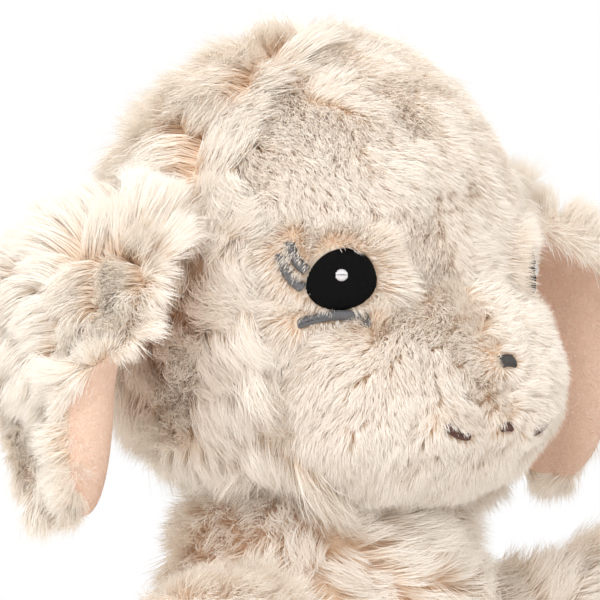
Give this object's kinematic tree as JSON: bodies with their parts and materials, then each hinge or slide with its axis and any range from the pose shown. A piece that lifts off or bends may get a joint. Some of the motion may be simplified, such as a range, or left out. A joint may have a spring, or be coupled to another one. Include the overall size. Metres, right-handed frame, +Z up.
{
  "type": "plush lamb",
  "caption": "Sitting plush lamb with long curly pile, short-pile face, embroidered eyes, floppy lined ears and soft sewn limbs.",
  "frame": {"origin": "middle of the flat seat, on the surface that the lamb sits on", "axes": "+Z up; the lamb faces -Y and its left side is at +X"},
  "size_m": [0.2168, 0.2249, 0.259],
  "materials": {
    "long_pile": "long tufted cream pile fabric",
    "short_pile": "short dense cream pile fabric",
    "ear_velour": "smooth peach velour",
    "black_thread": "satin stitch",
    "white_thread": "satin stitch",
    "grey_thread": "satin stitch",
    "brown_thread": "satin stitch",
    "cream_thread": "sewing thread",
    "fibre_fill": "loose polyester fill",
    "bag_cloth": "plain inner cloth"
  },
  "bodies": {
    "torso": {"body_front_cover": "long_pile", "body_back_cover": "long_pile", "body_stuffing": "fibre_fill", "pellet_bag": "bag_cloth"},
    "neck": {"neck_seam_thread": "cream_thread"},
    "head": {"face_cover": "short_pile", "crown_cover": "long_pile", "head_stuffing": "fibre_fill", "nose_stitch": "grey_thread", "mouth_centre_stitch": "brown_thread", "eye_right": "black_thread", "eye_glint_right": "white_thread", "outer_lash_right": "grey_thread", "inner_lash_right": "grey_thread", "lower_lid_right": "grey_thread", "mouth_corner_right": "brown_thread", "eye_left": "black_thread", "eye_glint_left": "white_thread", "outer_lash_left": "grey_thread", "inner_lash_left": "grey_thread", "lower_lid_left": "grey_thread", "mouth_corner_left": "brown_thread"},
    "ear_right": {"ear_back_right": "long_pile", "ear_lining_right": "ear_velour"},
    "arm_right": {"arm_cover_right": "long_pile", "arm_stuffing_right": "fibre_fill"},
    "leg_right": {"leg_cover_right": "long_pile", "leg_stuffing_right": "fibre_fill"},
    "ear_left": {"ear_back_left": "long_pile", "ear_lining_left": "ear_velour"},
    "arm_left": {"arm_cover_left": "long_pile", "arm_stuffing_left": "fibre_fill"},
    "leg_left": {"leg_cover_left": "long_pile", "leg_stuffing_left": "fibre_fill"},
    "tail": {"tail": "long_pile"}
  },
  "joints": [
    {"name": "neck_turn", "type": "hinge", "parent": "torso", "child": "neck", "pos_m": [0, 0, 0.104], "axis": [0, 0, 1], "range_deg": [-25, 25], "stiffness_Nm_per_rad": 0.4},
    {"name": "head_nod", "type": "hinge", "parent": "neck", "child": "head", "pos_m": [0, 0, 0.104], "axis": [1, 0, 0], "range_deg": [-10, 10], "stiffness_Nm_per_rad": 1.5},
    {"name": "ear_right_lift", "type": "hinge", "parent": "head", "child": "ear_right", "pos_m": [-0.06195, 0, 0.207], "axis": [0, 1, 0], "range_deg": [-8, 55], "stiffness_Nm_per_rad": 0.03},
    {"name": "ear_left_lift", "type": "hinge", "parent": "head", "child": "ear_left", "pos_m": [0.06195, 0, 0.207], "axis": [0, -1, 0], "range_deg": [-8, 55], "stiffness_Nm_per_rad": 0.03},
    {"name": "arm_right_lift", "type": "hinge", "parent": "torso", "child": "arm_right", "pos_m": [-0.04137, -0.01344, 0.09], "axis": [-0.6018, 0.7986, 0], "range_deg": [-35, 30], "stiffness_Nm_per_rad": 0.1},
    {"name": "arm_left_lift", "type": "hinge", "parent": "torso", "child": "arm_left", "pos_m": [0.04137, -0.01344, 0.09], "axis": [-0.6018, -0.7986, 0], "range_deg": [-35, 30], "stiffness_Nm_per_rad": 0.1},
    {"name": "leg_right_lift", "type": "hinge", "parent": "torso", "child": "leg_right", "pos_m": [-0.02967, -0.04749, 0.03], "axis": [-0.9563, 0.2924, 0], "range_deg": [-25, 40], "stiffness_Nm_per_rad": 0.15},
    {"name": "leg_left_lift", "type": "hinge", "parent": "torso", "child": "leg_left", "pos_m": [0.02967, -0.04749, 0.03], "axis": [-0.9563, -0.2924, 0], "range_deg": [-25, 40], "stiffness_Nm_per_rad": 0.15},
    {"name": "tail_wag", "type": "hinge", "parent": "torso", "child": "tail", "pos_m": [0, 0.05599, 0.036], "axis": [0, 0, 1], "range_deg": [-25, 25], "stiffness_Nm_per_rad": 0.005}
  ]
}
